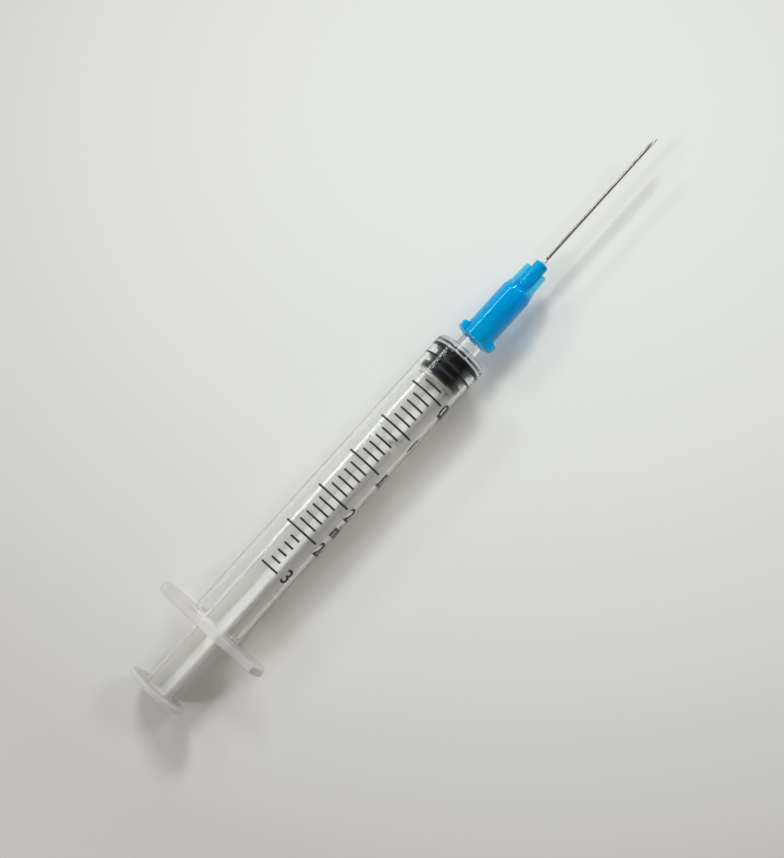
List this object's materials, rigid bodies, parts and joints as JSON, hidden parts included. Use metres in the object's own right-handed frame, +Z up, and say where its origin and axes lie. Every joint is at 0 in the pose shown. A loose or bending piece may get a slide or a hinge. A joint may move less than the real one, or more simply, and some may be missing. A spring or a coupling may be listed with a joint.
{
  "type": "luer slip syringe with needle",
  "caption": "Clear plastic syringe with a two-wing finger flange, crossed-rib plunger, black rubber stopper and a blue-hubbed steel needle on its slip tip.",
  "frame": {"origin": "middle of the whole length, on the axis in plan, at the level of the surface it lies on", "axes": "+X along the syringe's axis towards the needle's point, +Y across the finger flange's wings, +Z up"},
  "size_m": [0.137, 0.024, 0.0124],
  "materials": {
    "clear_barrel": "clear glossy polypropylene",
    "black_rubber": "smooth, lightly oiled",
    "white_rod": "milky translucent polypropylene",
    "blue_hub": "translucent glossy blue",
    "clear_adhesive": "clear hard resin",
    "steel_tube": "drawn and polished"
  },
  "bodies": {
    "barrel": {"barrel": "clear_barrel"},
    "stopper": {"stopper": "black_rubber"},
    "plunger_rod": {"plunger_rod": "white_rod"},
    "needle": {"needle_hub": "blue_hub", "adhesive": "clear_adhesive", "cannula": "steel_tube"}
  },
  "joints": [
    {"name": "plunger_slide", "type": "slide", "parent": "barrel", "child": "stopper", "axis": [-1, 0, 0], "range_m": [0, 0.0586]},
    {"name": "rod_spin", "type": "hinge", "parent": "stopper", "child": "plunger_rod", "pos_m": [0.00697, 0, 0.0062], "axis": [1, 0, 0], "continuous": true},
    {"name": "needle_pull", "type": "slide", "parent": "barrel", "child": "needle", "axis": [1, 0, 0], "range_m": [0, 0.008]}
  ]
}
